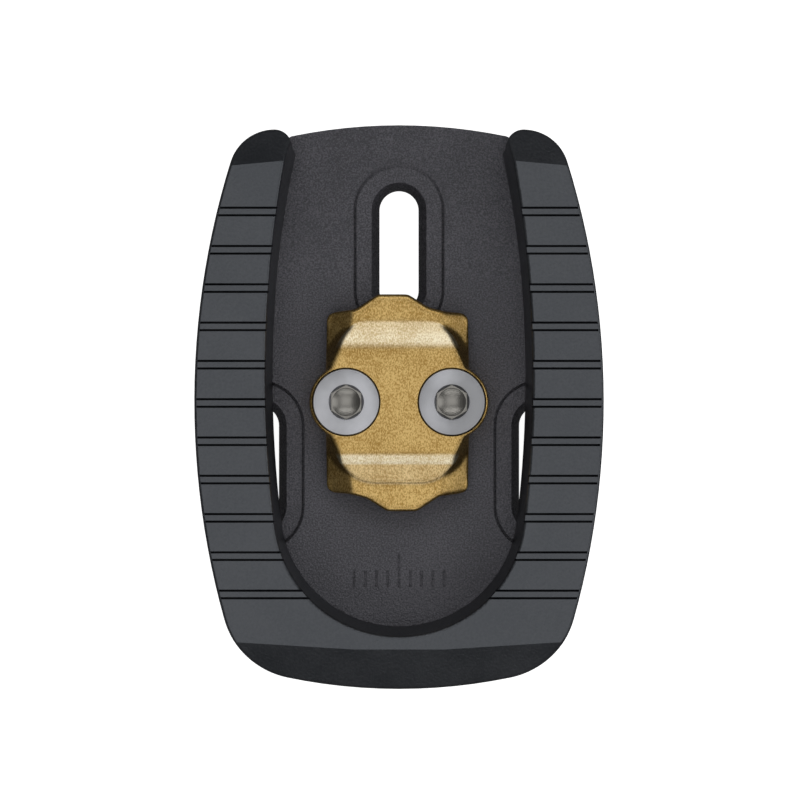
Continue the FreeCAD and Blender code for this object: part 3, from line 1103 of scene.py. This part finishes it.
def steel_finish(name, x):
    """Turned steel: fine rings about the bolt's axis, a soft painted highlight in the head's colour, and
    painted shade down in the drilled socket.
    """
    finish = Finish(name, Metallic=1.0)
    ring_pitch = 0.7 * MM
    on_axis = {"Vector": finish.place, "Location": (-x * MM, -bolt_y * MM, 0)}
    centred = finish.node("ShaderNodeMapping", {}, on_axis, output="Vector")
    wave = {"Vector": centred, "Scale": 1 / ring_pitch, "Distortion": 0.6, "Detail": 2.0}
    kind = {"wave_type": "RINGS", "rings_direction": "Z"}
    rings = finish.node("ShaderNodeTexWave", kind, wave, output="Fac")
    haze = finish.noise(1.6)
    # Painted highlight: a broad, soft lighter and darker mottle across the head.
    painted_sheen = (finish.noise(7.0, detail=0.0) * 0.85 + haze * 0.15).smooth_step(0.32, 0.62)
    dark, pale, socket_shade = (0.28, 0.283, 0.295), (0.47, 0.475, 0.50), (0.27, 0.26, 0.24)
    socket_low = (bolt_top - hexagon_depth) * MM
    socket_high = (bolt_top - 0.2) * MM
    # Painted shade: a darker, warmer colour down in the socket, deeper in.
    drilled = 1 - finish.part_of_place("Z").smooth_step(socket_low, socket_high)
    finish.give("Base Color", finish.mixed(drilled, finish.mixed(painted_sheen, dark, pale), socket_shade))
    finish.give("Roughness", 0.27 + 0.08 * haze + 0.04 * rings)
    finish.give("Normal", finish.bump(rings, depth=0.004))
    return finish.material


def insert_finish():
    finish = Finish("turned_insert", Metallic=1.0)
    haze = finish.noise(1.2)
    dark, pale = (0.55, 0.40, 0.18), (0.68, 0.52, 0.27)
    finish.give("Base Color", finish.mixed(haze, dark, pale))
    finish.give("Roughness", 0.3 + 0.15 * haze)
    return finish.material


def floor_finish():
    finish = Finish("pale_floor", Roughness=0.9, Emission_Strength=0.95)
    finish.give("Emission Color", (1.0, 1.0, 1.0, 1.0))
    haze = finish.noise(60.0)
    finish.give("Base Color", finish.mixed(haze, (0.86, 0.86, 0.86), (0.88, 0.88, 0.88)))
    return finish.material


def finish_pieces(pieces):
    rubber = rubber_finish()
    nylon = nylon_finish()
    brass = brass_finish()
    insert = insert_finish()
    finishes = {
        "base_plate": nylon,
        "tread_pad": rubber,
        "cleat": brass,
        "cleat_bolt_left": steel_finish("steel_left", -bolt_x),
        "cleat_bolt_right": steel_finish("steel_right", bolt_x),
        "threaded_insert_left": insert,
        "threaded_insert_right": insert,
    }
    for node, material in finishes.items():
        piece = pieces[node]
        piece.data.materials.clear()
        piece.data.materials.append(material)


# ---------------------------------------------------------------- stage, lights and camera


def make_floor():
    """White floor under the part, which the pieces don't mirror."""
    floor_gap = 0.2 * MM
    bpy.ops.object.select_all(action="DESELECT")
    bpy.ops.mesh.primitive_plane_add(size=6.0, location=(0, 0, -floor_gap))
    floor = bpy.context.object
    floor.name = "floor"
    floor.data.materials.append(floor_finish())
    floor.visible_glossy = False
    floor.visible_diffuse = False


def panel(name, place, size, watts):
    """Soft light panel that faces the object; place and size are in metres."""
    data = bpy.data.lights.new(name, "AREA")
    data.shape = "RECTANGLE"
    data.size, data.size_y = size
    data.energy = watts
    light = bpy.data.objects.new(name, data)
    bpy.context.collection.objects.link(light)
    light.location = place
    light.rotation_mode = "QUATERNION"
    light.rotation_quaternion = (-Vector(place)).to_track_quat("-Z", "Y")
    return light


def make_lights():
    world = bpy.data.worlds.new("studio")
    world.use_nodes = True
    background = world.node_tree.nodes["Background"]
    background.inputs["Color"].default_value = (1.0, 1.0, 1.0, 1.0)
    background.inputs["Strength"].default_value = 0.12
    bpy.context.scene.world = world
    panel("overhead", (0.0, -0.14, 1.5), (1.333, 1.1), 4.6)
    panel("toe_panel", (0.0, 0.52, 0.73), (1.0, 0.24), 1.5)
    panel("heel_panel", (0.0, -0.62, 0.64), (1.0, 0.20), 1.2)
    panel("side_panel", (0.74, 0.0, 0.5), (0.6, 0.6), 1.35)


def make_camera():
    """Straight down over the middle of the pad, a view this wide at the height of the bolt heads."""
    view_width = 105.96
    distance = 1200.0
    middle_x, middle_y = 0.13, 0.87
    data = bpy.data.cameras.new("camera")
    data.sensor_width = 36.0
    data.lens = data.sensor_width * distance / view_width
    data.clip_start = 0.01
    data.clip_end = 20.0
    camera = bpy.data.objects.new("camera", data)
    bpy.context.collection.objects.link(camera)
    camera.location = Vector((middle_x, middle_y, bolt_top + distance)) * MM
    bpy.context.scene.camera = camera


def clear_stage():
    """Takes away the cube, lamp and camera that Blender starts with."""
    for name in ("Cube", "Light", "Camera"):
        if name in bpy.data.objects:
            bpy.data.objects.remove(bpy.data.objects[name])


clear_stage()
pieces = make_pieces()
finish_pieces(pieces)
make_floor()
make_lights()
make_camera()
bpy.context.scene.view_settings.view_transform = "Standard"
